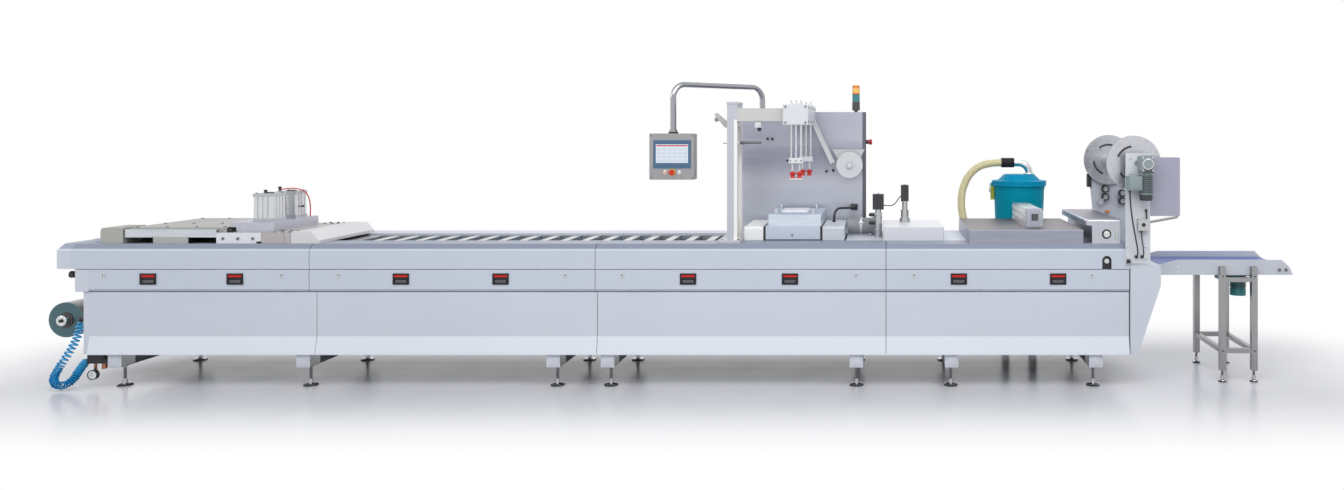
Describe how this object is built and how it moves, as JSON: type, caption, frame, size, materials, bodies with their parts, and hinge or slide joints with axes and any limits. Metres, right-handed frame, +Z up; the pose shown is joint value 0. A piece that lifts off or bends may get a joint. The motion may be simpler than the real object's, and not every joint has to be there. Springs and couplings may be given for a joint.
{
  "type": "thermoforming packaging machine",
  "caption": "Long packaging line that forms pockets in film from a roll, then seals and cuts the filled packs, with a swing operator panel, scrap winder and outfeed conveyor.",
  "frame": {"origin": "on the floor, under the middle of the machine's overall box", "axes": "+X along the line from the film roll to the outfeed conveyor, +Y from the operator's side to the back, +Z up"},
  "size_m": [8.6179, 1.533, 2.071],
  "materials": {
    "white_paint": "satin",
    "rail_paint": "satin",
    "beige_paint": "satin",
    "blue_paint": "satin",
    "teal_paint": "satin",
    "red_paint": "satin",
    "black_paint": "satin",
    "stainless": "brushed",
    "polished": "polished",
    "aluminium": "anodised",
    "grey_plastic": "matte",
    "black_plastic": "matte",
    "film_plastic": "glossy",
    "label_paper": "matte",
    "web_plastic": "glossy",
    "amber_plastic": "glossy",
    "blue_plastic": "glossy",
    "cream_plastic": "matte",
    "belt_rubber": "matte",
    "black_rubber": "matte"
  },
  "bodies": {
    "machine": {"machine_base": "white_paint", "cross_tubes": "stainless", "levelling_feet": "stainless", "side_rails": "rail_paint", "upper_panels": "white_paint", "lower_panels": "white_paint", "panel_latches": "stainless", "infeed_end": "white_paint", "end_nose": "white_paint", "bed_covers": "white_paint", "chain_guides": "aluminium", "formed_web": "web_plastic", "roll_stand": "stainless", "air_unit": "black_plastic", "forming_blocks": "beige_paint", "forming_frame": "aluminium", "preheat_plate": "stainless", "forming_end_cover": "white_paint", "forming_beam": "aluminium", "air_cylinders": "aluminium", "gantry_post": "white_paint", "gantry_beam": "aluminium", "back_cabinet": "white_paint", "signal_tower": "amber_plastic", "cabinet_stop": "red_paint", "label_bracket": "stainless", "label_band": "label_paper", "sealing_covers": "stainless", "sealing_chamber": "black_paint", "sealing_head": "stainless", "vacuum_pipe": "stainless", "valve_cover": "white_paint", "vacuum_valves": "blue_paint", "cross_cutter": "stainless", "cutter_drive": "aluminium", "slitter": "stainless", "winder_frame": "stainless", "gear_motor": "blue_paint", "limit_switch": "black_plastic", "winder_guard": "stainless", "conveyor_frame": "white_paint", "conveyor_belt": "belt_rubber", "conveyor_stand": "stainless", "conveyor_motor": "teal_paint", "vacuum_drum": "teal_paint", "vacuum_stand": "black_paint", "vacuum_lid": "teal_paint", "air_hose": "blue_plastic", "trim_hose": "cream_plastic", "motor_cable": "black_rubber", "switch_cable": "black_rubber", "sealing_hose": "black_rubber", "air_tube": "blue_plastic", "valve_cable": "black_rubber"},
    "film": {"film_roll": "film_plastic"},
    "scrap_reel": {"winder_reel": "stainless"},
    "labels": {"label_reel": "stainless"},
    "gripper": {"label_gripper": "aluminium"},
    "arm": {"swing_arm": "stainless"},
    "panel": {"operator_panel": "white_paint"}
  },
  "joints": [
    {"name": "film_roll_spin", "type": "hinge", "parent": "machine", "child": "film", "pos_m": [-4.187, -0.171, 0.41], "axis": [0, 1, 0], "continuous": true},
    {"name": "scrap_reel_spin", "type": "hinge", "parent": "machine", "child": "scrap_reel", "pos_m": [3.174, -0.171, 1.505], "axis": [0, 1, 0], "continuous": true},
    {"name": "label_reel_spin", "type": "hinge", "parent": "machine", "child": "labels", "pos_m": [1.235, 0.147, 1.468], "axis": [0, 1, 0], "continuous": true},
    {"name": "gripper_lift", "type": "slide", "parent": "machine", "child": "gripper", "axis": [0, 0, 1], "range_m": [-0.15, 0]},
    {"name": "arm_swivel", "type": "hinge", "parent": "machine", "child": "arm", "pos_m": [0.571, 0.254, 1.893], "axis": [0, 0, 1], "range_deg": [-80, 12]},
    {"name": "panel_swivel", "type": "hinge", "parent": "arm", "child": "panel", "pos_m": [0.016, -0.324, 1.734], "axis": [0, 0, 1], "range_deg": [-90, 90]}
  ]
}
